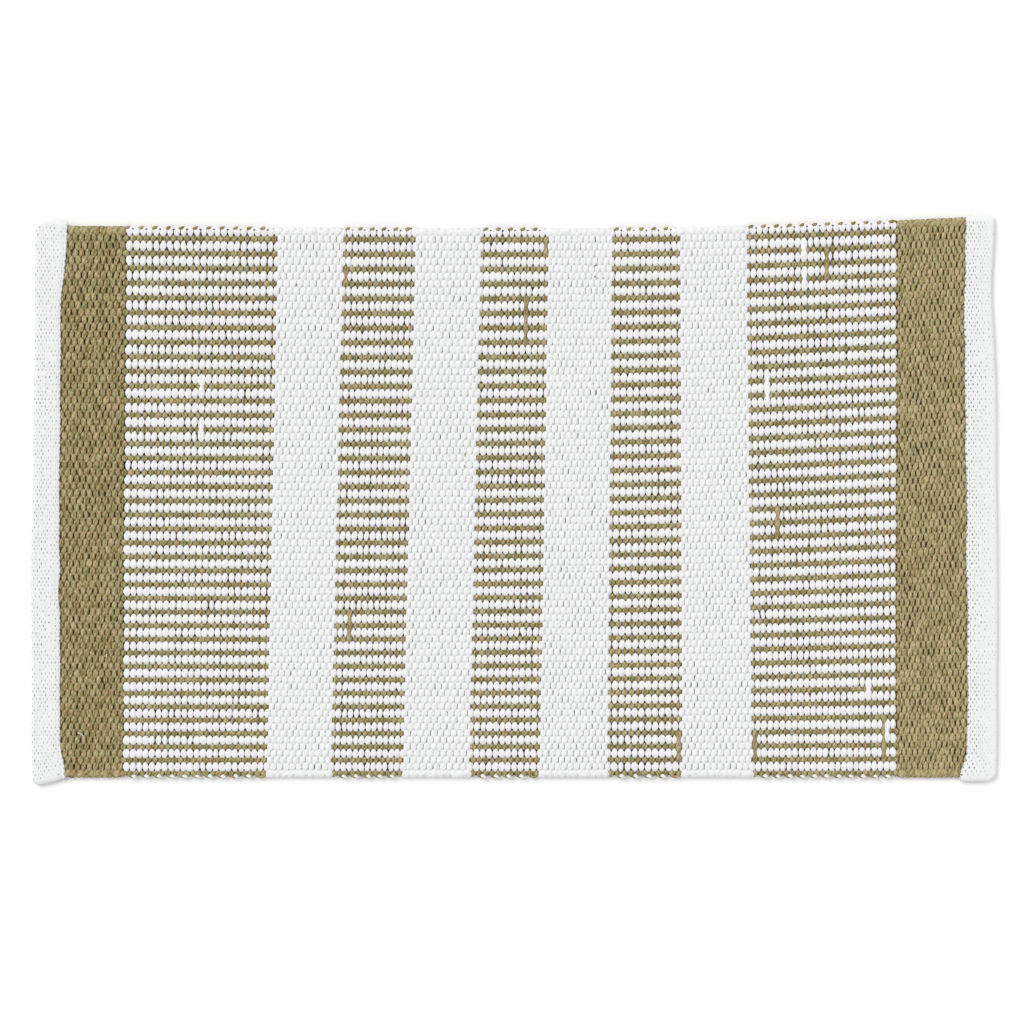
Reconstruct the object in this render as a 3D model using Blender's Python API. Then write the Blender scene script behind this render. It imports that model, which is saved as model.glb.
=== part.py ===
"""A hand-woven cotton bath mat: bands of thick weft over hidden warp cords, with a folded hem at each end.

Metres, +Z up. X runs along the mat with the warp, Y across it with the weft, and Z = 0 is the floor.
The middle of the mat's outline is at the origin.
"""

import math

import bpy

# Cloth
bodyWidth = 0.4965  # selvedge to selvedge, across the weft bands
clothThickness = 0.0066  # of the weft bands
selvedgeRound = 0.0016  # how far the selvedges are rounded over
clearance = 0.0003  # left between two pieces that lie against each other

# Weft bands from left to right: name, width along the mat, colour
olive = "olive_cotton"
white = "white_cotton"
mixed = "mixed_cotton"
weftBands = [
    ("olive_band_left", 0.0547, olive),
    ("mixed_band_wide_left", 0.1327, mixed),
    ("white_band_1", 0.0592, white),
    ("mixed_band_left", 0.0646, mixed),
    ("white_band_2", 0.0601, white),
    ("mixed_band_centre", 0.0583, mixed),
    ("white_band_3", 0.0619, white),
    ("mixed_band_right", 0.0646, mixed),
    ("white_band_4", 0.0637, white),
    ("mixed_band_wide_right", 0.1300, mixed),
    ("olive_band_right", 0.0637, olive),
]

# How the relaxed cloth lies: a loom-woven mat is never quite square
borderSkew = 0.0060  # how far the bands lean along the mat from its middle to a selvedge
skewPeak = 0.36  # where along the mat they lean most, as a share of its length
skewSharpness = 4.0  # how quickly the lean dies away from there
selvedgeSag = 0.0022  # how far the back selvedge draws in at the middle of the mat
cornerLift = 0.0055  # how far the back selvedge spreads at the right end
liftStart = 0.65  # where that spread begins, as a share of the length

# Warp: straight cords in frames of two, which share a tunnel through every band
cordPairs = 38
cordWidth = 0.0020
cordHeight = 0.0012
edgeToFirstCord = 0.0050  # from a selvedge to the middle of the outermost cord
cordFromFold = 0.0053  # from the mat's end to the cords' ends
cordTie = 0.0020  # the heading threads that tie two cords at their ends

# Hems: the white heading folded up and back over the edge of the olive band
hemWidthLeft = 0.0247
hemWidthRight = 0.0260
hemOverhang = 0.0110  # how much longer a hem is than the bands are wide
hemShift = 0.00125  # how far the left hem sits to the front and the right one to the back
flapThickness = 0.0014  # the upper leg of the fold
legWall = 0.0005  # of the lower leg over the ends of the warp
foldDepth = 0.0040  # solid cloth between the mat's end and the slit in the fold
foldRound = 0.0018  # rounding of the fold
flapEdgeRound = 0.0006
hemCornerRadius = 0.0055
hemCornerSteps = (0.0, 0.25, 0.65, 1.0)  # where along a round corner its outlines stand
hemEndRound = 0.0005  # how far a hem thins at its ends
lap = 0.0040  # how far the flap lies over the olive band's edge

# Sewing thread, which sinks into a groove in the cloth on both faces
seamFromEdge = 0.0021  # from the flap's edge to the middle of the seam
threadWidth = 0.0008
threadHeight = 0.0006
threadSink = 0.0004  # how deep the stitches lie below the hem's face
bobbinLift = 0.0001  # how far the locking thread stays off the floor
seamFromEnd = 0.0060  # from a hem's end to the end of its seam

cordMiddle = clothThickness / 2
hemSpan = bodyWidth + hemOverhang
legThickness = cordMiddle + cordHeight / 2 + clearance + legWall  # the heading, its raw edge turned in
hemThickness = legThickness + clearance + flapThickness
cutThrough = 0.010  # how far a cutter reaches past the face that it opens
bandSections = 5  # outlines along each weft band, so that its selvedges can curve
bandsLength = sum(width for _, width, _ in weftBands)
matLength = bandsLength + hemWidthLeft + hemWidthRight
leftEnd = -matLength / 2
rightEnd = matLength / 2
halfWidth = bodyWidth / 2
cordPitch = (bodyWidth - 2 * edgeToFirstCord) / (2 * cordPairs - 1)

colours = {
    olive: (0.30, 0.26, 0.125),
    white: (0.86, 0.87, 0.86),
    mixed: (0.58, 0.56, 0.49),
    "white_heading": (0.82, 0.83, 0.83),
    "warp_cord": (0.80, 0.78, 0.72),
    "sewing_thread": (0.90, 0.90, 0.90),
}


def lean(x):
    """How far the cloth at x is shifted along the mat at its back selvedge, and the other way in front."""
    u = max(x - leftEnd, 0.0) / matLength / skewPeak
    return borderSkew * (u * math.exp(1 - u)) ** skewSharpness


def settled(x, y):
    """Where a point of the square, straight cloth lies along the mat once the cloth has relaxed."""
    return x + lean(x) * y / halfWidth


def backEdge(x):
    """The back selvedge at x. The front one is straight."""
    u = (x - leftEnd) / matLength
    spread = max(u - liftStart, 0.0) / (1 - liftStart)
    return halfWidth - selvedgeSag * math.sin(math.pi * u) + cornerLift * spread**1.5


def cottonOf(name):
    """The material of this name, made at its first use."""
    if name in bpy.data.materials:
        return bpy.data.materials[name]
    made = bpy.data.materials.new(name)
    made.use_nodes = True
    shader = made.node_tree.nodes["Principled BSDF"]
    shader.inputs["Base Color"].default_value = (*colours[name], 1.0)
    shader.inputs["Roughness"].default_value = 0.9
    shader.inputs["Metallic"].default_value = 0.0
    return made


def addCollection(name, hidden=False):
    made = bpy.data.collections.new(name)
    bpy.context.scene.collection.children.link(made)
    made.hide_render = hidden
    return made


def addPiece(name, points, faces, cotton=None):
    """A piece of the mat in its cotton or, without one, a cutter."""
    mesh = bpy.data.meshes.new(name)
    mesh.from_pydata(points, [], faces)
    mesh.update()
    made = bpy.data.objects.new(name, mesh)
    if cotton:
        mesh.materials.append(cottonOf(cotton))
        mat.objects.link(made)
    else:
        made.hide_render = True
        made.display_type = "WIRE"
        cutters.objects.link(made)
    return made


def addLoft(name, sections, cotton=None):
    """A closed solid through outlines of as many points each, ordered so that its faces point out."""
    count = len(sections[0])
    last = (len(sections) - 1) * count
    points = [point for section in sections for point in section]
    faces = [tuple(reversed(range(count))), tuple(range(last, last + count))]
    for start in range(0, last, count):
        for i in range(count):
            j = (i + 1) % count
            faces.append((start + i, start + j, start + count + j, start + count + i))
    return addPiece(name, points, faces, cotton)


def cut(target, cutter):
    modifier = target.modifiers.new(cutter.name, "BOOLEAN")
    modifier.operation = "DIFFERENCE"
    modifier.solver = "EXACT"
    modifier.object = cutter


def rectangle(left, front, right, back):
    return [(left, front), (right, front), (right, back), (left, back)]


def addCordPair(number, firstY):
    """Two rows of warp, tied to each other at both ends by the heading."""
    left = leftEnd + cordFromFold
    right = rightEnd - cordFromFold
    half = cordWidth / 2
    secondY = firstY + cordPitch
    outside = rectangle(left, firstY - half, right, secondY + half)
    inside = rectangle(left + cordTie, firstY + half, right - cordTie, secondY - half)
    heights = (cordMiddle - cordHeight / 2, cordMiddle + cordHeight / 2)
    points = [(x, y, z) for z in heights for x, y in outside + inside]
    faces = []
    for i in range(4):
        j = (i + 1) % 4
        faces.append((i, j, j + 8, i + 8))  # outer wall
        faces.append((j + 4, i + 4, i + 12, j + 12))  # inner wall
        faces.append((j, i, i + 4, j + 4))  # underside
        faces.append((i + 8, j + 8, j + 12, i + 12))  # top
    addPiece(f"warp_cords_{number:02d}", points, faces, "warp_cord")


def addTunnels(firstRows):
    """One cutter with a tunnel for each pair of rows, which leaves the clearance all round the cords."""
    left = leftEnd + cordFromFold - clearance
    right = rightEnd - cordFromFold + clearance
    reachY = cordWidth / 2 + clearance
    reachZ = cordHeight / 2 + clearance
    points = []
    faces = []
    for firstY in firstRows:
        start = len(points)
        outline = rectangle(left, firstY - reachY, right, firstY + cordPitch + reachY)
        points += [(x, y, cordMiddle - reachZ) for x, y in outline]
        points += [(x, y, cordMiddle + reachZ) for x, y in outline]
        faces.append((start + 3, start + 2, start + 1, start))
        faces.append((start + 4, start + 5, start + 6, start + 7))
        for i in range(4):
            j = (i + 1) % 4
            faces.append((start + i, start + j, start + j + 4, start + i + 4))
    return addPiece("warp_tunnels", points, faces)


def bandOutline(x):
    """The outline of a weft band across the mat at x, with rounded selvedges."""
    front = -halfWidth
    back = backEdge(x)
    top = clothThickness
    outline = [
        (front + selvedgeRound, 0.0),
        (back - selvedgeRound, 0.0),
        (back, selvedgeRound),
        (back, top - selvedgeRound),
        (back - selvedgeRound, top),
        (front + selvedgeRound, top),
        (front, top - selvedgeRound),
        (front, selvedgeRound),
    ]
    return [(settled(x, y), y, z) for y, z in outline]


def addWeftBands():
    """The bands side by side, with the outer ones reaching in under the hems. Gives each by name."""
    made = {}
    position = leftEnd + hemWidthLeft
    for name, width, cotton in weftBands:
        start = position - lap if name == weftBands[0][0] else position + clearance / 2
        position += width
        end = position + lap if name == weftBands[-1][0] else position - clearance / 2
        step = (end - start) / (bandSections - 1)
        outlines = [bandOutline(start + step * n) for n in range(bandSections)]
        made[name] = addLoft(name, outlines, cotton)
    return made


def stripAlongHem(border, nearSide, farSide, low, high, front, back):
    """The outlines of a straight strip that leans with the cloth where a hem meets its olive band."""
    outlines = []
    for y in (front, back):
        near = border + nearSide + lean(border) * y / halfWidth
        far = border + farSide + lean(border) * y / halfWidth
        outlines.append([(near, y, low), (near, y, high), (far, y, high), (far, y, low)])
    return outlines


def hemOutline(end, inwards, width, y, inset, thin):
    """The outline of a hem along the mat at y: a fold that is open towards the olive band."""
    legEnd = width - lap - clearance
    top = hemThickness - thin
    outline = [
        (inset + foldRound, thin),
        (legEnd, thin),
        (legEnd, legThickness),
        (inset + foldDepth, legThickness),
        (inset + foldDepth, legThickness + clearance),
        (width, legThickness + clearance),
        (width, top - flapEdgeRound),
        (width - flapEdgeRound, top),
        (inset + foldRound, top),
        (inset, top - foldRound),
        (inset, thin + foldRound),
    ]
    leanHere = lean(end + inwards * width) * y / halfWidth
    points = [(end + inwards * reach + leanHere * reach / width, y, z) for reach, z in outline]
    return points if inwards < 0 else points[::-1]


def addHem(side, end, inwards, width, middleY):
    """One folded hem with round corners. inwards is 1 at the left end of the mat and -1 at the right."""
    corner = []
    for share in hemCornerSteps:
        inset = hemCornerRadius * (1 - math.sqrt(1 - (1 - share) ** 2))
        thin = hemEndRound if share == 0.0 else 0.0
        corner.append((hemCornerRadius * share, inset, thin))
    front = middleY - hemSpan / 2
    back = middleY + hemSpan / 2
    places = [(front + along, inset, thin) for along, inset, thin in corner]
    places += [(back - along, inset, thin) for along, inset, thin in reversed(corner)]
    outlines = [hemOutline(end, inwards, width, *place) for place in places]
    return addLoft(f"hem_{side}", outlines, "white_heading")


def addLedge(side, border, inwards, band):
    """Cuts the olive band's edge down to a ledge, which the hem's flap lies on."""
    sides = sorted((inwards * clearance, -inwards * (lap + cutThrough)))
    heights = (legThickness, clothThickness + cutThrough)
    ends = (-bodyWidth, bodyWidth)
    cut(band, addLoft(f"ledge_{side}", stripAlongHem(border, *sides, *heights, *ends)))


def addSeamThread(name, host, border, inwards, low, high, opening, front, back):
    """One thread of a hem's seam, in a groove that is open on the face of its host."""
    middle = -inwards * seamFromEdge
    half = threadWidth / 2
    thread = stripAlongHem(border, middle - half, middle + half, low, high, front, back)
    addLoft(name, thread, "sewing_thread")
    half += clearance
    heights = sorted((opening, low - clearance if opening > low else high + clearance))
    groove = stripAlongHem(
        border, middle - half, middle + half, *heights, front - clearance, back + clearance
    )
    cut(host, addLoft(f"{name}_groove", groove))


def addSeam(side, border, inwards, hem, band, middleY):
    """The two threads of a hem's seam: the stitches on top, and the thread that locks them underneath."""
    stitchLow = hemThickness - threadSink
    addSeamThread(
        f"hem_stitch_{side}",
        hem,
        border,
        inwards,
        stitchLow,
        stitchLow + threadHeight,
        hemThickness + cutThrough,
        middleY - hemSpan / 2 + seamFromEnd,
        middleY + hemSpan / 2 - seamFromEnd,
    )
    addSeamThread(
        f"hem_bobbin_{side}",
        band,
        border,
        inwards,
        bobbinLift,
        bobbinLift + threadHeight,
        -cutThrough,
        -halfWidth + seamFromEnd,
        backEdge(border) - seamFromEnd,
    )


for leftover in list(bpy.data.objects):
    bpy.data.objects.remove(leftover, do_unlink=True)

mat = addCollection("bath_mat")
cutters = addCollection("cutters", hidden=True)

firstRows = [-halfWidth + edgeToFirstCord + 2 * pair * cordPitch for pair in range(cordPairs)]
for number, firstY in enumerate(firstRows, start=1):
    addCordPair(number, firstY)
tunnels = addTunnels(firstRows)

bands = addWeftBands()
for band in bands.values():
    cut(band, tunnels)

for side, end, inwards, width, middleY, bandName in (
    ("left", leftEnd, 1, hemWidthLeft, -hemShift, weftBands[0][0]),
    ("right", rightEnd, -1, hemWidthRight, hemShift, weftBands[-1][0]),
):
    border = end + inwards * width
    hem = addHem(side, end, inwards, width, middleY)
    cut(hem, tunnels)
    addLedge(side, border, inwards, bands[bandName])
    addSeam(side, border, inwards, hem, bands[bandName], middleY)
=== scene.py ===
import math

import bpy
import numpy as np
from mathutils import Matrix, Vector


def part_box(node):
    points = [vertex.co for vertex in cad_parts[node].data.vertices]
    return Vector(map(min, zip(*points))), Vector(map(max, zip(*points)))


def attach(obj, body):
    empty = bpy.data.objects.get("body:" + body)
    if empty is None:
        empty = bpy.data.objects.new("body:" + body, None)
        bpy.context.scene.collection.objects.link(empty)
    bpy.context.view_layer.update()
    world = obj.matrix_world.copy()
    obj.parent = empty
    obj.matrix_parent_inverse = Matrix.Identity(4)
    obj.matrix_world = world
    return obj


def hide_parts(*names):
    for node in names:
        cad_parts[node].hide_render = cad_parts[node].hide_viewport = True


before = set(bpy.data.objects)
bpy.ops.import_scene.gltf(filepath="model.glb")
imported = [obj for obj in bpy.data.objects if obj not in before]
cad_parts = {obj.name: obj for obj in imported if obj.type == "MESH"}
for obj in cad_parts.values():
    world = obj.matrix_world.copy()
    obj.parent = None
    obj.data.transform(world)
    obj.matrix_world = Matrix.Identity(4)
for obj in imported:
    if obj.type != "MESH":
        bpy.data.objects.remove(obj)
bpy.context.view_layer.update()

chance = np.random.default_rng(11)
mm = 0.001

# The relaxed cloth, in metres: a loom-woven mat is never quite square
cloth = {
    "rows": 78,  # ribs from selvedge to selvedge
    "rowDrift": 0.035,  # how much wider the ribs are at the back than in the middle
    "thickness": 0.0066,
    "borderSkew": 0.0059,  # how far the bands lean from the middle of the mat to a selvedge
    "skewPeak": 0.36,  # where along the mat they lean most, as a share of its length
    "skewSharpness": 2.5,
    "skewBack": -0.0050,  # how far they lean the other way further on
    "skewBackPlace": (0.73, 0.13),
    "selvedgeSag": 0.0022,  # how far the back selvedge draws in at the middle of the mat
    "cornerLift": 0.0090,  # how far the back selvedge spreads at the right end
    "liftStart": 0.62,
    "edgeInset": 0.0013,  # from a selvedge to the middle of the yarn that turns there
    "rowSag": 0.0042,  # how far the ribs sag between the selvedges at the left end
    "rowSagFall": 0.0107,  # how much less they sag towards the right end, where they rise
    "borderPull": 0.0016,  # how far the left hem draws the cloth outwards
    "pullPlace": (0.42, 0.30),  # where from front to back it does so, and how widely
    "pullFrom": 0.0247,  # how far from the left end it starts to fade
    "pullFade": 0.05,
}
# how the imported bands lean, from which each border's place at the middle of the mat follows
packedLean = {"skew": 0.0060, "peak": 0.36, "sharpness": 4}

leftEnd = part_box("hem_left")[0].x
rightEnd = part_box("hem_right")[1].x
matLength = rightEnd - leftEnd
halfWidth = -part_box("white_band_1")[0].y
bodyWidth = 2 * halfWidth
clothMiddle = cloth["thickness"] / 2
rows = cloth["rows"]


def lean(x):
    share = np.maximum(x - leftEnd, 0.0) / matLength
    u = share / cloth["skewPeak"]
    place, spread = cloth["skewBackPlace"]
    back = cloth["skewBack"] * np.exp(-(((share - place) / spread) ** 2))
    return cloth["borderSkew"] * (u * np.exp(1 - u)) ** cloth["skewSharpness"] + back


def settled(x, y):
    across = y / bodyWidth + 0.5
    place, spread = cloth["pullPlace"]
    pull = cloth["borderPull"] * np.exp(-(((across - place) / spread) ** 2))
    fromHem = np.maximum(x - leftEnd - cloth["pullFrom"], 0.0)
    return x + lean(x) * y / halfWidth - pull * np.exp(-fromHem / cloth["pullFade"])


def backEdge(x):
    u = (x - leftEnd) / matLength
    spread = np.maximum(u - cloth["liftStart"], 0.0) / (1 - cloth["liftStart"])
    return halfWidth - cloth["selvedgeSag"] * np.sin(np.pi * u) + cloth["cornerLift"] * spread**1.5


# where a rib lies from front to back: row 0 is the front selvedge
def rowPlace(row, x):
    u = row / rows
    u = u + cloth["rowDrift"] * u * (u - 1)
    front = -halfWidth + cloth["edgeInset"]
    sag = cloth["rowSag"] - cloth["rowSagFall"] * ((x - leftEnd) / matLength) ** 3
    return front + u * (backEdge(x) - cloth["edgeInset"] - front) - sag * np.sin(np.pi * u)


def borderOf(name):
    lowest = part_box(name)[0].x
    x = lowest
    for _ in range(20):
        u = max(x - leftEnd, 0.0) / matLength / packedLean["peak"]
        x = lowest + packedLean["skew"] * (u * math.exp(1 - u)) ** packedLean["sharpness"]
    return float(x)


# a smooth random wave, with a new height every so far
def wander(places, spacing, size):
    first, last = places.min(), places.max()
    count = max(int((last - first) / spacing) + 4, 4)
    knots = first + spacing * (np.arange(count) - 1)
    heights = chance.normal(0.0, size, count)
    step = (places - knots[0]) / spacing
    low = np.clip(step.astype(int), 0, count - 2)
    share = step - low
    share = share * share * (3 - 2 * share)
    return heights[low] * (1 - share) + heights[low + 1] * share


# a sum of soft bumps, each given as its middle, spread and size
def lies(places, bumps):
    return sum(size * np.exp(-(((places - middle) / spread) ** 2)) for middle, spread, size in bumps)


class Value:
    def __init__(self, tree, socket=None):
        self.tree = tree
        self.socket = socket

    def node(self, kind, settings, inputs, output=0):
        made = self.tree.nodes.new(kind)
        for name, value in settings.items():
            setattr(made, name, value)
        for name, value in inputs.items():
            if isinstance(value, Value):
                self.tree.links.new(value.socket, made.inputs[name])
            else:
                made.inputs[name].default_value = value
        return Value(self.tree, made.outputs[output])

    def math(self, operation, *values):
        values = values or (self,)
        return self.node("ShaderNodeMath", {"operation": operation}, dict(enumerate(values)))

    def __add__(self, other):
        return self.math("ADD", self, other)

    def __radd__(self, other):
        return self.math("ADD", other, self)

    def __sub__(self, other):
        return self.math("SUBTRACT", self, other)

    def __rsub__(self, other):
        return self.math("SUBTRACT", other, self)

    def __mul__(self, other):
        return self.math("MULTIPLY", self, other)

    def __rmul__(self, other):
        return self.math("MULTIPLY", other, self)


def startMaterial(name):
    made = bpy.data.materials.new(name)
    made.use_nodes = True
    shader = made.node_tree.nodes["Principled BSDF"]
    return made, shader, Value(made.node_tree)


def join(value, shader, socket):
    value.tree.links.new(value.socket, shader.inputs[socket])


def colour(*share):
    return (*share, 1.0)


def blend(factor, first, second):
    return factor.node(
        "ShaderNodeMix",
        {"data_type": "RGBA", "blend_type": "MIX", "clamp_factor": True},
        {0: factor, 6: first, 7: second},
        2,
    )


def between(value, low, high, toLow=0.0, toHigh=1.0):
    return value.node(
        "ShaderNodeMapRange",
        {"interpolation_type": "SMOOTHSTEP", "clamp": True},
        {"Value": value, "From Min": low, "From Max": high, "To Min": toLow, "To Max": toHigh},
    )


def attribute(start, name):
    vector = start.node("ShaderNodeAttribute", {"attribute_name": name}, {}, "Vector")
    return [vector.node("ShaderNodeSeparateXYZ", {}, {0: vector}, axis) for axis in range(3)]


def noise(start, vector, scale, detail):
    return start.node(
        "ShaderNodeTexNoise",
        {"noise_dimensions": "3D"},
        {"Vector": vector, "Scale": scale, "Detail": detail, "Roughness": 0.6},
    )


def combine(start, x, y, z):
    return start.node("ShaderNodeCombineXYZ", {}, {0: x, 1: y, 2: z})


def addBump(height, strength, distance, shader):
    inputs = {"Strength": strength, "Distance": distance, "Height": height}
    join(height.node("ShaderNodeBump", {}, inputs), shader, "Normal")


# how fast the yarn's markings change along it, to the millimetre, and round it
marks = {
    "fibreAlong": 0.16,
    "fibreRound": 0.6,
    "streakAlong": 0.5,
    "streakRound": 1.5,
    "streakShare": 3.4,
    "cloudAlong": 0.12,
    "cloudApart": 7.3,
    "heatherShare": 0.15,
    # the patches below set how strong the painted shade on the yarn's sides is
    "patchAlong": 0.10,
    "patchApart": 3.1,
    "patchEdges": (0.36, 0.64),
    "ridge": 0.5,  # how high the plies and the fibres stand
    "fibreHeight": 0.9,
    "bumpDistance": 0.0004,
}


def yarnMaterial(name, look):
    made, shader, start = startMaterial(name)
    along, around, number = attribute(start, "strand")
    tint, crown, heather = attribute(start, "bead")
    turn = around * (2 * math.pi)
    sideways, upwards = turn.math("COSINE"), turn.math("SINE")

    def marking(round, length, scale, detail):
        place = combine(start, sideways * round, upwards * round, along * length + number)
        return noise(start, place, scale, detail)

    def patches(length, apart):
        return noise(start, combine(start, along * length, number * apart, 0.0), 1.0, 1.0)

    fibre = marking(marks["fibreRound"], marks["fibreAlong"], look["fibreScale"], 3.0)
    streak = marking(marks["streakRound"], marks["streakAlong"], 1.5, 2.0)
    cloud = patches(marks["cloudAlong"], marks["cloudApart"])
    patch = patches(marks["patchAlong"], marks["patchApart"])
    twist = ((around * look["plies"] + along * look["twist"]) * (2 * math.pi)).math("SINE")

    shade = tint * look["tintShare"] + (fibre - 0.5) * look["fibreShare"] + twist * look["plyShare"]
    hue = (cloud - 0.5) * look["hueShare"] + (streak - 0.5) * marks["streakShare"]
    hue = hue + heather * marks["heatherShare"] + 0.5
    light = blend(hue, look["warm"], look["cool"])
    dark = blend(hue, look["warmDark"], look["coolDark"])
    body = blend(shade + 0.5, dark, light)

    # painted shade: the sides of the yarn are darkened, in patches, towards the dark gap colour
    flankShade = between(sideways.math("ABSOLUTE"), look["flankShadeFrom"], 1.0)
    flankShade = flankShade * between(patch, *marks["patchEdges"], look["flankShadeLeast"], look["flankShadeMost"])
    # painted shade: where the yarn dives between two ribs its colour goes over to the dark gap colour
    clearOfGapShade = between(crown, look["gapShadeLow"], look["gapShadeHigh"])
    join(blend(clearOfGapShade * (1 - flankShade), look["paintedGapShade"], body), shader, "Base Color")
    join(between(fibre, 0.2, 0.8, look["roughLow"], look["roughHigh"]), shader, "Roughness")
    height = twist * marks["ridge"] + fibre * marks["fibreHeight"]
    addBump(height, look["bump"], marks["bumpDistance"], shader)
    shader.inputs["Sheen Weight"].default_value = look["sheen"]
    shader.inputs["Sheen Roughness"].default_value = 0.5
    shader.inputs["Specular IOR Level"].default_value = look["gloss"]
    return made


oliveLook = {
    "warm": colour(0.60, 0.425, 0.265),
    "cool": colour(0.385, 0.405, 0.195),
    "warmDark": colour(0.245, 0.150, 0.055),
    "coolDark": colour(0.140, 0.152, 0.042),
    "paintedGapShade": colour(0.055, 0.036, 0.004),  # painted shade, deep between the yarns
    "gapShadeLow": 0.0,
    "gapShadeHigh": 0.66,
    "flankShadeFrom": 0.60,
    "flankShadeLeast": 0.72,  # how dark the painted shade on the sides of the yarn is, where least and where most
    "flankShadeMost": 0.96,
    "plies": 5.0,
    "twist": 0.16,  # turns of a ply to the millimetre
    "tintShare": 0.22,
    "fibreShare": 2.5,
    "fibreScale": 2.6,
    "plyShare": 0.20,
    "hueShare": 0.45,
    "roughLow": 0.80,
    "roughHigh": 0.98,
    "bump": 0.5,
    "sheen": 0.04,
    "gloss": 0.14,
}
whiteLook = {
    "warm": colour(0.838, 0.836, 0.832),
    "cool": colour(0.826, 0.833, 0.837),
    "warmDark": colour(0.80, 0.80, 0.795),
    "coolDark": colour(0.79, 0.80, 0.802),
    "paintedGapShade": colour(0.30, 0.305, 0.31),
    "gapShadeLow": 0.0,
    "gapShadeHigh": 0.34,
    "flankShadeFrom": 0.76,
    "flankShadeLeast": 0.20,
    "flankShadeMost": 1.0,
    "plies": 5.0,
    "twist": 0.16,
    "tintShare": 0.30,
    "fibreShare": 0.9,
    "fibreScale": 2.6,
    "plyShare": 0.12,
    "hueShare": 1.0,
    "roughLow": 0.82,
    "roughHigh": 0.98,
    "bump": 0.4,
    "sheen": 0.10,
    "gloss": 0.25,
}
bandWhiteLook = {
    **whiteLook,
    "warm": colour(0.850, 0.848, 0.844),
    "cool": colour(0.838, 0.845, 0.849),
    "warmDark": colour(0.81, 0.81, 0.805),
    "coolDark": colour(0.80, 0.81, 0.812),
    "paintedGapShade": colour(0.74, 0.745, 0.75),
    "flankShadeLeast": 0.2,
    "flankShadeMost": 0.5,
}
# painted shade: the warp cords are coloured far darker than their own pale cotton, as they show only
# in the shaded gaps between the beads
warpShadeLook = {
    **whiteLook,
    "warm": colour(0.24, 0.19, 0.09),
    "cool": colour(0.22, 0.19, 0.09),
    "warmDark": colour(0.17, 0.13, 0.05),
    "coolDark": colour(0.15, 0.13, 0.05),
    "paintedGapShade": colour(0.10, 0.08, 0.03),
    "plies": 3.0,
    "twist": 0.30,
}
threadLook = {
    **whiteLook,
    "plies": 3.0,
    "twist": 0.9,
    "paintedGapShade": colour(0.80, 0.80, 0.80),
    "bump": 0.3,
}

oliveCotton = yarnMaterial("olive_cotton_yarn", oliveLook)
whiteCotton = yarnMaterial("white_cotton_yarn", whiteLook)
bandWhiteCotton = yarnMaterial("white_cotton_yarn_in_mixed_bands", bandWhiteLook)
warpShadeCotton = yarnMaterial("warp_cord_cotton_painted_shade", warpShadeLook)
threadCotton = yarnMaterial("sewing_thread_cotton", threadLook)
print("yarn materials made")


def unit(vectors):
    return vectors / np.linalg.norm(vectors, axis=1, keepdims=True)


# one length of yarn: its middle line, which way its width faces, and its half width and height
def strand(centre, side, wide, high, tint=0.0, crown=1.0, heather=0.0, square=1.0):
    count = len(centre)
    tangent = unit(np.gradient(centre, axis=0))
    side = unit(side - tangent * np.sum(side * tangent, axis=1, keepdims=True))
    steps = np.linalg.norm(np.diff(centre, axis=0), axis=1)
    return {
        "centre": centre,
        "side": side,
        "up": np.cross(side, tangent),
        "wide": np.broadcast_to(wide, count),
        "high": np.broadcast_to(high, count),
        "along": np.concatenate([[0.0], np.cumsum(steps)]) / mm,
        "square": square,
        "bead": np.stack([np.broadcast_to(v, count) for v in (tint, crown, heather)], axis=1),
    }


def addMesh(name, points, faceGroups, uv, cornerData, pointData, material):
    mesh = bpy.data.meshes.new(name)
    corners = np.concatenate([group.ravel() for group in faceGroups]).astype(np.int32)
    sizes = np.concatenate([np.full(len(group), group.shape[1]) for group in faceGroups])
    mesh.vertices.add(len(points))
    mesh.vertices.foreach_set("co", points.astype(np.float32).ravel())
    mesh.loops.add(len(corners))
    mesh.loops.foreach_set("vertex_index", corners)
    mesh.polygons.add(len(sizes))
    mesh.polygons.foreach_set("loop_start", (np.cumsum(sizes) - sizes).astype(np.int32))
    layer = mesh.uv_layers.new(name="OFBake")
    layer.data.foreach_set("uv", uv.astype(np.float32).ravel())
    for domain, held in (("CORNER", cornerData), ("POINT", pointData)):
        for key, data in held.items():
            made = mesh.attributes.new(key, "FLOAT_VECTOR", domain)
            made.data.foreach_set("vector", data.astype(np.float32).ravel())
    mesh.update(calc_edges=True)
    mesh.validate()
    mesh.shade_smooth()
    mesh.materials.append(material)
    piece = bpy.data.objects.new(name, mesh)
    bpy.context.scene.collection.objects.link(piece)
    return piece


def finishPiece(piece, slot, *nodes):
    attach(piece, "root")
    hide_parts(*nodes)
    return piece


# how strips of yarn lie side by side for baking, as shares of a strip, and the ends above them
layout = {"margin": 0.06, "filled": 0.88, "endWidth": 0.2, "endHeight": 0.4}


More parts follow.
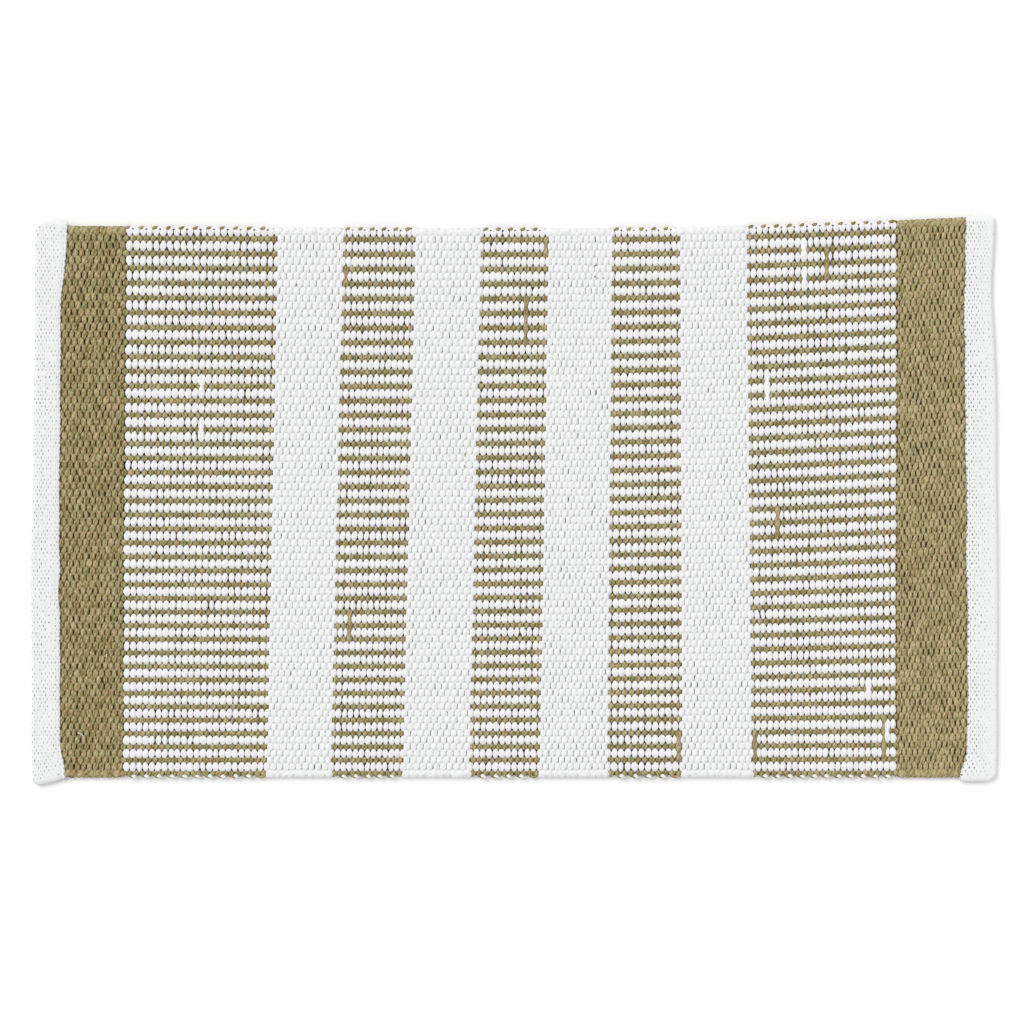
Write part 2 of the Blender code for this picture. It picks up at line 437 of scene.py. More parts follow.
# one mesh of several strands, laid out for baking in strips of so many segments
def addStrands(name, strands, material, around=8, perStrip=None):
    perStrip = perStrip or max(len(s["centre"]) - 1 for s in strands)
    total = sum(len(s["centre"]) - 1 for s in strands)
    strips = math.ceil(total / perStrip)
    angles = 2 * np.pi * np.arange(around) / around
    sideways, upwards = np.cos(angles), np.sin(angles)
    ends = np.arange(around)
    points, beads, sides, sideUv, sideStrand = [], [], [], [], []
    caps, capUv, capStrand = [], [], []
    firstPoint = firstSegment = 0
    for number, s in enumerate(strands):
        count = len(s["centre"])
        label = number * 3.7  # keeps the markings of two strands apart
        wide = s["wide"][:, None] * np.sign(sideways) * np.abs(sideways) ** s["square"]
        high = s["high"][:, None] * np.sign(upwards) * np.abs(upwards) ** s["square"]
        ring = s["centre"][:, None, :] + (
            s["side"][:, None, :] * wide[..., None] + s["up"][:, None, :] * high[..., None]
        )
        points.append(ring.reshape(-1, 3))
        beads.append(np.repeat(s["bead"], around, axis=0))

        i, j = np.meshgrid(np.arange(count - 1), ends, indexing="ij")
        after = (j + 1) % around
        here = firstPoint + i * around
        cells = [here + j, here + around + j, here + around + after, here + after]
        sides.append(np.stack(cells, axis=-1).reshape(-1, 4))
        strip, place = np.divmod(firstSegment + i, perStrip)
        u0 = place / perStrip
        u1 = u0 + 1 / perStrip
        bottom, filled = strip + layout["margin"], layout["filled"]
        v0 = (bottom + filled * j / around) / (strips + 1)
        v1 = (bottom + filled * (j + 1) / around) / (strips + 1)
        sideUv.append(np.stack([u0, v0, u1, v0, u1, v1, u0, v1], axis=-1).reshape(-1, 2))
        a0, a1 = s["along"][i], s["along"][i + 1]
        r0, r1 = j / around, (j + 1) / around
        n = np.full_like(a0, label)
        data = [a0, r0, n, a1, r0, n, a1, r1, n, a0, r1, n]
        sideStrand.append(np.stack(data, axis=-1).reshape(-1, 3))

        for end in (0, 1):
            order = ends[::-1] if end else ends
            caps.append(firstPoint + end * (count - 1) * around + order)
            place = (2 * number + end + 0.5) / (2 * len(strands))
            u = place + layout["endWidth"] / len(strands) * sideways[order]
            v = (strips + 0.5 + layout["endHeight"] * upwards[order]) / (strips + 1)
            capUv.append(np.stack([u, v], axis=-1))
            data = [np.full(around, s["along"][-end]), ends / around, np.full(around, label)]
            capStrand.append(np.stack(data, axis=-1))
        firstPoint += count * around
        firstSegment += count - 1
    return addMesh(
        name,
        np.concatenate(points),
        [np.concatenate(sides), np.array(caps)],
        np.concatenate(sideUv + capUv),
        {"strand": np.concatenate(sideStrand + capStrand)},
        {"bead": np.concatenate(beads)},
        material,
    )


weft = {
    "ringsPerRow": 5,
    "rise": 0.00205,  # from the middle of the cloth to the middle of the yarn on top of a rib
    "crossHigh": 0.0019,  # half the yarn's height where it dives between two ribs
    "crownWide": 1.01,  # half the yarn's width on a rib, as a share of the pick spacing
    "crossWide": 0.46,  # and between two ribs
    "flatten": 0.7,  # how quickly it flattens on its way up
    "wander": (5.0, 0.00014),  # how often, in ribs, and how far a pick strays from its place
    "widthSpread": 0.08,  # how uneven the beads are: width, height, place and slant
    "liftSpread": 0.00014,
    "shiftSpread": 0.00026,
    "slantSpread": 0.00032,
    "solidShare": 0.13,  # how far a rib's beads reach between the beads of the next rib
    "whiteShare": 0.12,  # how far a white rib spreads over its olive neighbours
    "turnWide": 0.95,  # how much wider the yarn is where it turns at a selvedge
    "turnHigh": 0.00110,
    "turnDrop": 0.0005,  # how far the last bead sinks towards the turn
    "offFloor": 0.00003,
    "tuckedPicks": 2,
    "tuckPitch": 0.0019,
    "tuckedMiddle": 0.00225,  # where the cloth's middle is pressed down to under a hem
    "tuckedShare": 0.64,
    "tuckedThin": 0.25,
    "tuckedReach": (0.0026, 0.95),  # how softly the weft goes down under the hem, and how early
    "endTaper": (0.35, 0.6, 0.85),
}
# the turn of one yarn round the other at the selvedge of a mixed band
selvedge = {
    "cut": 2,  # rings left out at each end, where the yarn leaves its rib for the turn
    "steps": 9,
    "lift": 0.0038,
    "liftPlace": 0.30,
    "liftSpread": 0.22,
    "wide": 0.00125,
    "high": 0.00122,
}
# how a yarn lies where it passes over a rib that it should pass under
floating = {
    "lift": 0.0006,
    "flat": 0.34,  # in ribs
    "fade": 1.5,
    "slim": 0.46,
    "slimReach": 0.42,
}
# name, picks, yarns, tucked under a hem at the left or right, how far its left side strays
bands = [
    ("olive_band_left", 20, "olive", -1, 0.0),
    ("mixed_band_wide_left", 45, "mixed", 0, 0.0010),
    ("white_band_1", 21, "white", 0, 0.0007),
    ("mixed_band_left", 23, "mixed", 0, 0.0028),
    ("white_band_2", 21, "white", 0, -0.0002),
    ("mixed_band_centre", 21, "mixed", 0, 0.0020),
    ("white_band_3", 23, "white", 0, 0.0026),
    ("mixed_band_right", 21, "mixed", 0, 0.0023),
    ("white_band_4", 23, "white", 0, -0.0012),
    ("mixed_band_wide_right", 47, "mixed", 0, -0.0008),
    ("olive_band_right", 26, "olive", 1, 0.0010),
]
# band, yarn, where across the band, ribs it passes over instead of under
floats = [
    ("mixed_band_wide_left", "white", 0.535, (56,)),
    ("mixed_band_wide_left", "white", 0.52, (50,)),
    ("mixed_band_left", "olive", 0.21, (21, 23)),
    ("mixed_band_left", "olive", 0.0, (71,)),
    ("mixed_band_centre", "olive", 1.0, (75,)),
    ("mixed_band_right", "olive", 1.0, (3, 5)),
    ("mixed_band_wide_right", "olive", 0.0, (3, 5)),
    ("mixed_band_centre", "olive", 0.66, (63, 65, 67)),
    ("mixed_band_wide_right", "white", 0.09, (54, 56)),
    ("mixed_band_wide_right", "olive", 0.18, (35, 37)),
    ("mixed_band_wide_right", "white", 0.38, (70, 74)),
    ("mixed_band_wide_right", "olive", 0.50, (71, 73)),
    ("mixed_band_wide_right", "white", 0.80, (12,)),
    ("mixed_band_wide_right", "olive", 0.91, (3, 5, 7)),
    ("mixed_band_wide_right", "white", 0.97, (6,)),
]
# olive fibres caught in the white bands, in metres: the band they come from, from the left end,
# from the front, turn in degrees, length
strayFibres = [
    ("mixed_band_left", 0.2362, 0.4428, 60.0, 0.0020),
    ("mixed_band_left", 0.3873, 0.2903, 80.0, 0.0026),
    ("mixed_band_left", 0.3868, 0.2801, 95.0, 0.0018),
    ("mixed_band_centre", 0.5047, 0.4600, 5.0, 0.0026),
    ("mixed_band_centre", 0.5040, 0.4496, 12.0, 0.0022),
]

# how a yarn fills its rib: how wide and how square it packs, and how steeply it dives
oliveYarn = {
    "cotton": oliveCotton,
    "swell": 1.01,
    "square": 0.84,
    "dive": 0.66,
    "taper": 0.70,
    "high": 0.00122,
    "uneven": 1.3,
    "light": 0.0,
}
oliveLoose = {**oliveYarn, "uneven": 1.6, "light": 0.8}
oliveSlim = {**oliveYarn, "swell": 1.06, "dive": 0.68, "taper": 1.0, "high": 0.00120}
whiteYarn = {
    "cotton": whiteCotton,
    "swell": 1.09,
    "square": 0.54,
    "dive": 0.48,
    "taper": 0.6,
    "high": 0.00098,
    "uneven": 0.9,
    "light": 0.0,
}
whitePlump = {
    **whiteYarn,
    "cotton": bandWhiteCotton,
    "swell": 1.10,
    "square": 0.60,
    "taper": 1.15,
    "high": 0.00112,
    "uneven": 1.3,
}

hem = {
    "cloth": 0.0007,  # thickness of the heading
    "top": 0.0064,
    "lap": 0.0040,
    "turnRadius": 0.00036,  # of the raw edge folded under at the seam
    "innerLow": 0.0015,  # the lowest that the folded-in part reaches
    "innerFrom": 0.0042,
    "lowerShort": 0.0004,  # how far the lower leaf and the folded-in part stop before the olive band
    "innerShort": 0.0014,
    "pickPitch": 0.00162,  # of the holes in its open weave
    "endPitch": 0.00328,
    "rowsStep": 0.00122,
    "pathStep": 0.0008,
    "edgeWaver": (0.022, 0.00050),  # how often and how far the sewn edge, fold and top waver
    "foldWaver": (0.045, 0.00025),
    "topWaver": (0.022, 0.00013),
    "scallop": 0.00034,  # how far each stitch draws in the sewn edge
    "cornerShape": (0.9, 1.7),  # how full and how tight the round corners are
    "leafSlide": (0.55, 0.45),  # how the corners' rounding is shared between fold and sewn edge
    "pinch": 0.34,  # how much a hem thins at its ends, and how far in
    "pinchReach": 0.005,
    "endCrease": (0.0046, 0.0006, -0.0002),  # beside each end: where, how wide, how deep
    "upperFrom": 0.0030,  # from this height up, the cloth belongs to the upper leaf
    "upperFade": 0.0018,
    "crestInset": 0.001,  # from the fold to where the upper leaf starts to wave
    "lipDrop": 0.00045,  # how far the sewn edge presses down, and from how far in
    "lipReach": 0.0020,
    "trimReach": 0.05,  # how far from a hem's end its trim tells, as a share of the hem
    "closedEnd": (0.0030, 0.0025),  # how far from its ends the weave is closed, and how it opens
    "lowest": 0.00002,
}
# the seam that holds a hem down
seam = {
    "stitch": 0.0056,
    "fromEdge": 0.0021,
    "wide": 0.00036,
    "high": 0.00028,
    "stepsPerStitch": 8,
    "topLow": 0.0011,  # below the top of the hem, where the thread goes in
    "topBow": 0.00075,
    "underHigh": 0.00095,
    "underBow": 0.00065,
    "waver": (0.04, 0.00012),
    "follow": 0.8,  # how closely the seam follows the sewn edge
    "pull": 0.0011,  # how far to each side the thread draws the cloth down, and how deep
    "pullDepth": 0.00055,
}

# how each hem lies: (where from front to back, how far it spreads, by how much), in metres
hemLies = {
    "left": {
        "fold": [(0.30, 0.34, -0.0024), (1.0, 0.30, 0.0009)],  # outer edge, inwards
        "edge": [(1.0, 0.10, 0.0068), (0.0, 0.035, 0.0036), (0.45, 0.25, -0.0012)],  # sewn edge
        "openness": (1.1, 0.9),  # how open the weave shows, at the fold and at the sewn edge
        "frontRadius": 0.0042,
        "backRadius": 0.0105,
        "frontTrim": (0.0004, 0.0058),  # shorter at the fold and at the sewn edge
        "backTrim": (-0.0003, 0.0014),
    },
    "right": {
        "fold": [(0.86, 0.10, 0.0034), (0.25, 0.30, -0.0013)],
        "edge": [(0.80, 0.26, 0.0042), (0.0, 0.028, 0.0066), (0.42, 0.05, 0.0012)],
        "openness": (0.45, 1.35),
        "frontRadius": 0.0072,
        "backRadius": 0.0018,
        "frontTrim": (0.0013, 0.0013),
        "backTrim": (-0.0009, -0.0013),
    },
}

borders = [borderOf(name) + strays for name, _, _, _, strays in bands]
borders[0] = float(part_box("olive_band_left")[0].x) + hem["lap"]
borders.append(float(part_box("olive_band_right")[1].x) - hem["lap"])

hemEdges = {}  # for each hem, places from front to back and how far the sewn edge strays there
for side in hemLies:
    fromTo = np.linspace(-halfWidth - 0.01, halfWidth + 0.01, 900)
    scallops = hem["scallop"] * np.cos(2 * np.pi * fromTo / seam["stitch"])
    stray = wander(fromTo, *hem["edgeWaver"]) + scallops
    hemEdges[side] = (fromTo, stray + lies(fromTo / bodyWidth + 0.5, hemLies[side]["edge"]))


# how far a place is under a hem, from 0 to 1
def underHem(x, y):
    covered = 0.0
    for side, border, inwards in (("left", borders[0], 1), ("right", borders[-1], -1)):
        edge = border + lean(border) * y / halfWidth + inwards * np.interp(y, *hemEdges[side])
        softness, early = weft["tuckedReach"]
        inside = inwards * (edge - settled(x, y)) / softness + early
        covered = np.maximum(covered, np.clip(inside, 0, 1))
    return covered


# one pick, from the front selvedge to the back one
def pickRun(x, pitch, sign, yarn, backwards, share, over=()):
    row = np.arange(rows * weft["ringsPerRow"] + 1) / weft["ringsPerRow"]
    crests = np.arange(rows) + 0.5
    wave = np.sin(np.pi * row)
    crown = np.abs(wave)

    def each(values):
        return np.interp(row, crests, values)

    uneven = yarn["uneven"]
    width = each(1 + chance.normal(0, weft["widthSpread"] * uneven, rows))
    lift = each(chance.normal(0, weft["liftSpread"], rows))
    shift = each(chance.normal(0, weft["shiftSpread"] * uneven, rows))
    nearest = np.minimum(row.astype(int), rows - 1)
    slant = chance.normal(0, weft["slantSpread"] * uneven, rows)[nearest] * np.sin(2 * np.pi * row)
    height = weft["rise"] * np.sign(wave) * crown ** yarn["dive"] * sign
    slim = 1.0
    for rib in over:
        away = np.abs(row - (rib + 0.5))
        lifted = floating["fade"] * (1 - np.maximum(away - floating["flat"], 0))
        lifted = np.clip(lifted, 0, 1) * (away < 1)
        height = height * (1 - lifted) + (weft["rise"] + floating["lift"]) * lifted
        crown = np.maximum(crown, lifted)
        slim = slim - floating["slim"] * np.exp(-((away / floating["slimReach"]) ** 2))
    way = np.sign(height)
    high = weft["crossHigh"] + (yarn["high"] - weft["crossHigh"]) * crown ** weft["flatten"]
    inFrom = np.minimum(row, rows - row)
    edge = np.clip(1 - 2 * inFrom, 0, 1)
    high = high + (weft["turnHigh"] - high) * edge
    place = row + share * np.clip(inFrom, 0, 1) * np.cos(np.pi * row)
    acrossX = x + wander(row, *weft["wander"]) + slant * 0.5
    y = rowPlace(place, x) + shift * crown
    z = clothMiddle + height + (clothMiddle - yarn["high"] - weft["rise"]) * way * crown
    z = z + lift * crown * way - weft["turnDrop"] * np.clip(1 - inFrom, 0, 1) * way
    covered = underHem(acrossX, y)
    z = z + covered * (weft["tuckedMiddle"] + weft["tuckedShare"] * (z - clothMiddle) - z)
    high = high * (1 - weft["tuckedThin"] * covered)
    spread = weft["crownWide"] * yarn["swell"] - weft["crossWide"]
    run = {
        "x": acrossX,
        "y": y,
        "z": np.maximum(z, high + weft["offFloor"]),
        "wide": pitch * (weft["crossWide"] + spread * crown ** yarn["taper"]) * width * slim,
        "high": high,
        "tint": each(chance.uniform(-1, 1, rows)) + yarn["light"],
        # crown also tells the yarn's colour where to paint shade between the ribs
        "crown": np.maximum(crown, edge),
        "heather": each(chance.uniform(-1, 1, rows)),
    }
    return {key: value[::-1] for key, value in run.items()} if backwards else run


def finishStrand(parts, sides, yarn):
    joined = {key: np.concatenate([p[key] for p in parts]) for key in parts[0]}
    centre = np.stack([settled(joined["x"], joined["y"]), joined["y"], joined["z"]], axis=1)
    taper = np.ones(len(centre))
    taper[:3] = weft["endTaper"]
    taper[-3:] = weft["endTaper"][::-1]
    return strand(
        centre,
        np.concatenate(sides),
        joined["wide"] * taper,
        joined["high"] * taper,
        joined["tint"],
        joined["crown"],
        joined["heather"],
        yarn["square"],
    )


# a plain band: one yarn, back and forth
def solidStrand(places, signs, yarn):
    parts, sides = [], []
    n = weft["ringsPerRow"]
    turning = np.linspace(0, 1, n + 1)[1:]
    for k, (x, pitch) in enumerate(places):
        run = pickRun(x, pitch, signs[k], yarn, k % 2 == 1, -signs[k] * weft["solidShare"])
        if k + 1 < len(places):
            run["x"][-n:] += 0.5 * (places[k + 1][0] - x) * turning**2
            run["wide"][-n:] *= 1 + weft["turnWide"] * turning
        if k > 0:
            run["x"][:n] -= 0.5 * (x - places[k - 1][0]) * turning[::-1] ** 2
            run["wide"][:n] *= 1 + weft["turnWide"] * turning[::-1]
            run = {key: value[1:] for key, value in run.items()}
        parts.append(run)
        sides.append(np.tile([1.0, 0.0, 0.0], (len(run["x"]), 1)))
    return finishStrand(parts, sides, yarn)


# a mixed band has two of these, white and olive, that turn round each other at the selvedges
def interlockedStrand(places, sign, yarn, passes):
    parts, sides = [], []
    cut, steps = selvedge["cut"], selvedge["steps"]
    share = np.linspace(0, 1, steps + 2)[1:-1]
    bow = np.sin(np.pi * share)
    for k, (x, pitch) in enumerate(places):
        backwards = k % 2 == 1
        run = pickRun(x, pitch, sign, yarn, backwards, weft["whiteShare"], passes.get(k, ()))
        first = cut if k > 0 else 0
        last = len(run["x"]) - (cut if k + 1 < len(places) else 0)
        run = {key: value[first:last] for key, value in run.items()}
        facing = -1.0 if backwards else 1.0
        parts.append(run)
        sides.append(np.tile([facing, 0.0, 0.0], (len(run["x"]), 1)))
        if k + 1 == len(places):
            break
        startX, startY, startZ = run["x"][-1], run["y"][-1], run["z"][-1] - clothMiddle
        edge = rowPlace(0.0 if backwards else float(rows), x)
        over = lies(share, [(selvedge["liftPlace"], selvedge["liftSpread"], selvedge["lift"])])
        if startZ > 0:
            over = 0.0
        turn = {
            "x": startX + (places[k + 1][0] - startX) * (1 - np.cos(np.pi * share)) / 2,
            "y": startY + (edge - startY) * bow,
            "z": clothMiddle + startZ * (1 - 0.5 * bow) + over,
            "wide": run["wide"][-1] + (selvedge["wide"] - run["wide"][-1]) * bow**0.6,
            "high": np.full(steps, selvedge["high"]),
            "tint": np.full(steps, run["tint"][-1]),
            "crown": np.full(steps, 1.0),
            "heather": np.full(steps, run["heather"][-1]),
        }
        parts.append(turn)
        facings = [facing * np.cos(np.pi * share), -np.sin(np.pi * share), np.zeros(steps)]
        sides.append(np.stack(facings, axis=1))
    return finishStrand(parts, sides, yarn)


looseThread = {"steps": 12, "wide": 0.00036, "high": 0.0003, "curl": 0.0004, "above": 0.0001}


# a short end of fibre or thread lying on the cloth
def looseEnd(fromEnd, fromFront, turn, length):
    t = np.linspace(-0.5, 0.5, looseThread["steps"])
    angle = math.radians(turn)
    x = leftEnd + fromEnd + length * t * math.cos(angle)
    y = -halfWidth + fromFront + length * t * math.sin(angle)
    y = y + looseThread["curl"] * np.cos(5 * t)
    z = cloth["thickness"] + looseThread["above"] + looseThread["high"] * np.cos(4 * t)
    sideways = np.tile([-math.sin(angle), math.cos(angle), 0.0], (len(t), 1))
    centre = np.stack([x, y, z], axis=1)
    return strand(centre, sideways, looseThread["wide"], looseThread["high"])


pick = 0
for index, (name, count, yarns, tucked, _) in enumerate(bands):
    start, end = borders[index], borders[index + 1]
    pitch = (end - start) / count
    places = [(start + (k + 0.5) * pitch, pitch) for k in range(count)]
    tuckPitch = weft["tuckPitch"]
    hidden = [(k + 0.5) * tuckPitch for k in range(weft["tuckedPicks"])]
    if tucked < 0:
        places = [(start - further, tuckPitch) for further in reversed(hidden)] + places
    if tucked > 0:
        places = places + [(end + further, tuckPitch) for further in hidden]
    perStrip = rows * weft["ringsPerRow"]
    if yarns == "mixed":
        for colourName, first, sign, kind in (
            ("olive", pick % 2, 1.0, oliveSlim),
            ("white", 1 - pick % 2, -1.0, whitePlump),
        ):
            chosen = places[first::2]
            passes = {}
            for band, which, across, ribs in floats:
                if (band, which) == (name, colourName):
                    taken = round(across * (len(chosen) - 1))
                    passes[taken] = passes.get(taken, ()) + ribs
            strands = [interlockedStrand(chosen, sign, kind, passes)]
            if colourName == "olive":
                strands += [looseEnd(*place) for band, *place in strayFibres if band == name]
            piece = addStrands(
                f"{name}_{colourName}_yarn", strands, kind["cotton"], around=10, perStrip=perStrip + 7
            )
            finishPiece(piece, f"{colourName}_cotton", name)
    else:
        kind = {"olive_band_left": oliveYarn, "olive_band_right": oliveLoose}.get(name, whiteYarn)
        signs = [1.0 if (pick + k) % 2 == 0 else -1.0 for k in range(len(places))]
        strands = [solidStrand(places, signs, kind)]
        piece = addStrands(f"{name}_yarn", strands, kind["cotton"], perStrip=perStrip)
        finishPiece(piece, f"{yarns}_cotton", name)
    pick += len(places)
print("weft laid:", pick, "picks")

warp = {
    "radius": 0.0008,
    "apart": 0.0018,  # between the two cords of a rib
    "fromEnd": 0.0060,
    "steps": 70,
}
cords = []
along = np.linspace(leftEnd + warp["fromEnd"], rightEnd - warp["fromEnd"], warp["steps"] + 1)
for row in range(rows):
    for offset in (-0.5, 0.5):
        y = rowPlace(row + 0.5, along) + offset * warp["apart"]
        centre = np.stack([settled(along, y), y, np.full_like(along, clothMiddle)], axis=1)
        side = np.tile([0.0, 1.0, 0.0], (len(along), 1))
        cords.append(strand(centre, side, warp["radius"], warp["radius"]))
warpNodes = [f"warp_cords_{number:02d}" for number in range(1, 39)]
warpPiece = finishPiece(addStrands("warp_cords", cords, warpShadeCotton), "warp_cord", *warpNodes)
print("warp laid")

headingLook = {
    "light": colour(0.885, 0.886, 0.886),
    "dark": colour(0.755, 0.76, 0.765),
    # the holes of the open weave are coloured dark grey: painted shade inside the holes
    "shadedHole": colour(0.26, 0.27, 0.29),
    "holeShare": 0.85,
    "holeEdges": (0.62, 0.98),
    "holeClouds": 0.5,  # how far the holes come and go, in drifts and one by one
    "holeSpots": 1.1,
    "holeOpening": 0.35,
    "threadPitch": (0.75, 0.8),  # in millimetres
    "fineShare": 1.9,
    "threadShare": 0.22,
    "roughness": (0.82, 0.98),
    "bump": 0.35,
    "bumpDistance": 0.0003,
    "sheen": 0.1,
    "gloss": 0.25,
}


def hemMaterial(look):
    made, shader, start = startMaterial("white_heading_cloth")
    across, alongHem, face = attribute(start, "cloth")
    opened, _, _ = attribute(start, "weave")
    pattern = (across * (math.pi / (hem["pickPitch"] / mm))).math("COSINE")
    pattern = pattern * (alongHem * (math.pi / (hem["endPitch"] / mm))).math("COSINE")
    cloud = noise(start, combine(start, across * 0.11, alongHem * 0.05, face), 1.0, 1.0)
    fine = noise(start, combine(start, across, alongHem, face), 3.0, 3.0)
    spot = noise(start, combine(start, across * 0.30, alongHem * 0.30, face), 1.0, 0.0)
    wideness = (cloud - 0.5) * look["holeClouds"] + (spot - 0.5) * look["holeSpots"] - pattern
    shadedHole = between(wideness + (opened - 1.0) * look["holeOpening"], *look["holeEdges"])
    pickPitch, endPitch = look["threadPitch"]
    thread = (across * (2 * math.pi / pickPitch)).math("SINE")
    thread = thread * (alongHem * (2 * math.pi / endPitch)).math("SINE")
    shade = (fine - 0.5) * look["fineShare"] + thread * look["threadShare"] + 0.5
    body = blend(shade, look["dark"], look["light"])
    # painted shade: the holes of the weave are darkened towards the grey hole colour
    join(blend(shadedHole * opened * look["holeShare"], body, look["shadedHole"]), shader, "Base Color")
    join(between(fine, 0.2, 0.8, *look["roughness"]), shader, "Roughness")
    height = thread * 0.4 + fine * 0.6 - shadedHole * 1.5
    addBump(height, look["bump"], look["bumpDistance"], shader)
    shader.inputs["Sheen Weight"].default_value = look["sheen"]
    shader.inputs["Specular IOR Level"].default_value = look["gloss"]
    return made


headingCotton = hemMaterial(headingLook)


def resample(path, step):
    lengths = np.concatenate([[0.0], np.cumsum(np.linalg.norm(np.diff(path, axis=0), axis=1))])
    places = np.linspace(0, lengths[-1], int(lengths[-1] / step) + 1)
    return np.stack([np.interp(places, lengths, path[:, k]) for k in range(2)], axis=1), places


def arc(centreX, centreZ, radius, fromAngle, toAngle, count):
    angle = np.radians(np.linspace(fromAngle, toAngle, count))
    return np.stack([centreX + radius * np.cos(angle), centreZ + radius * np.sin(angle)], axis=1)


# a hem seen from its end: lower leaf, fold, upper leaf, and the raw edge turned under
def hemPath(width):
    low = hem["cloth"] / 2
    high = hem["top"] - low
    radius = (high - low) / 2
    turn = hem["turnRadius"]
    innerLow = hem["innerLow"]
    innerRadius = (high - 2 * turn - innerLow) / 2
    innerX = hem["innerFrom"] + innerRadius
    return np.concatenate(
        [
            [(width - hem["lap"] - hem["lowerShort"], low)],
            arc(radius + low, low + radius, radius, 270, 90, 15),
            arc(width - low - turn, high - turn, turn, 90, -90, 5),
            arc(innerX, innerLow + innerRadius, innerRadius, 90, 270, 9),
            [(width - hem["lap"] - hem["innerShort"], innerLow)],
        ]
    )


def addHem(side, end, inwards, width, span, middleY):
    lie = hemLies[side]
    path, developed = resample(hemPath(width), hem["pathStep"])
    tangent = unit(np.gradient(path, axis=0))
    normal = np.stack([-tangent[:, 1], tangent[:, 0]], axis=1)  # points out of the fold
    ys = np.linspace(middleY - span / 2, middleY + span / 2, int(span / hem["rowsStep"]) + 1)
    near = np.minimum(ys - ys[0], ys[-1] - ys)
    radius = np.where(ys < middleY, lie["frontRadius"], lie["backRadius"])
    full, tight = hem["cornerShape"]
    inset = (radius * (1 - np.clip(near / radius, 0, 1)) ** tight * full)[:, None]
    pinch = 1 - hem["pinch"] * np.clip(1 - near / hem["pinchReach"], 0, 1) ** 2
    across = (ys - ys[0]) / span
    edgeWave = np.interp(ys, *hemEdges[side])
    foldWave = wander(ys, *hem["foldWaver"]) + lies(across, lie["fold"])
    topWave = wander(ys, *hem["topWaver"]) + lies(near, [hem["endCrease"]])
    count = len(path)
    shells = []
    for out in (1, -1):
        face = path + out * normal * (hem["cloth"] / 2)
        reach = np.tile(face[:, 0], (len(ys), 1))
        z = np.tile(face[:, 1], (len(ys), 1))
        upper = np.clip((z - hem["upperFrom"]) / hem["upperFade"], 0, 1)
        drawn = lies(reach, [(width - seam["fromEdge"], seam["pull"], seam["pullDepth"])])
        crestWide = width - hem["crestInset"] - hem["lipReach"]
        crest = np.sin(np.pi * np.clip((reach - hem["crestInset"]) / crestWide, 0, 1))
        lip = np.clip((reach - (width - hem["lipReach"])) / hem["lipReach"], 0, 1)
        z = z - upper * (drawn - topWave[:, None] * crest)
        z = z - upper * hem["lipDrop"] * lip
        z = np.maximum(z * pinch[:, None], hem["lowest"])
        nearEdge = np.clip(reach / width, 0, 1) ** 3
        slide, ease = hem["leafSlide"]
        reach = inset * (1 - reach / width * slide) + reach * (1 - inset / width * ease)
        reach = reach + edgeWave[:, None] * nearEdge * upper + foldWave[:, None] * (1 - nearEdge)
        shells.append((reach, z))
    reach = np.concatenate([shells[0][0], shells[1][0][:, ::-1]], axis=1)
    z = np.concatenate([shells[0][1], shells[1][1][:, ::-1]], axis=1)
    toEdge = np.clip(reach / width, 0, 1)
    x = end + inwards * reach + lean(end + inwards * width) * ys[:, None] / halfWidth * reach / width

    def trim(ends, fromEnd):
        fade = np.exp(-fromEnd[:, None] / hem["trimReach"])
        return (ends[0] + (ends[1] - ends[0]) * toEdge**1.5) * fade

    y = ys[:, None] + trim(lie["frontTrim"], across) - trim(lie["backTrim"], 1 - across)
    points = np.stack([x, y, z], axis=-1).reshape(-1, 3)

    ringSize = 2 * count
    ringLength = np.concatenate([developed, developed[::-1]]) / mm
    face = np.repeat([0.0, 40.0], count)  # keeps the markings of the two faces apart
    clothData = np.stack(
        np.broadcast_arrays(ringLength[None, :], ys[:, None] / mm, face[None, :]), axis=-1
    )
    atFold, atEdge = lie["openness"]
    closed, opening = hem["closedEnd"]
    opened = np.clip((near[:, None] - closed) / opening, 0, 1)
    opened = opened * (atFold + (atEdge - atFold) * toEdge)
    weaveData = np.stack([opened, np.zeros_like(opened), np.zeros_like(opened)], axis=-1)

    lastRow = len(ys) - 1
    i, j = np.meshgrid(np.arange(lastRow), np.arange(ringSize), indexing="ij")
    after = (j + 1) % ringSize
    here, there = i * ringSize, (i + 1) * ringSize
    u0, u1 = 0.012 + 0.976 * i / lastRow, 0.012 + 0.976 * (i + 1) / lastRow
    v0, v1 = j / ringSize, (j + 1) / ringSize
    cells = [here + j, here + after, there + after, there + j]
    places = [(u0, v0), (u0, v1), (u1, v1), (u1, v0)]
    if inwards < 0:
        cells, places = ([held[k] for k in (0, 3, 2, 1)] for held in (cells, places))
    faces = [np.stack(cells, axis=-1).reshape(-1, 4)]
    uvs = [np.stack([np.stack(p, axis=-1) for p in places], axis=-2).reshape(-1, 2)]

    k = np.arange(count - 1)
    for rowStart, flip, u in ((0, False, 0.0), (lastRow * ringSize, True, 0.99)):
        inner = rowStart + ringSize - 1 - k
        cells = [rowStart + k, inner, inner - 1, rowStart + k + 1]
        places = [(u + 0.001, k), (u + 0.009, k), (u + 0.009, k + 1), (u + 0.001, k + 1)]
        if flip != (inwards < 0):
            cells, places = cells[::-1], places[::-1]
        faces.append(np.stack(cells, axis=-1))
        corners = [np.stack([np.full(len(k), p), q / count], axis=-1) for p, q in places]
        uvs.append(np.stack(corners, axis=-2).reshape(-1, 2))
    data = {"cloth": clothData, "weave": weaveData}
    piece = addMesh(
        f"hem_{side}_cloth", points, faces, np.concatenate(uvs), {}, data, headingCotton
    )
    return piece, float(developed[-1])


# stray ends of thread on the left olive band: from the left end, from the front, turn, length
looseEnds = [(0.0427, 0.0395, -32.0, 0.0068), (0.0660, 0.1105, 66.0, 0.0030)]

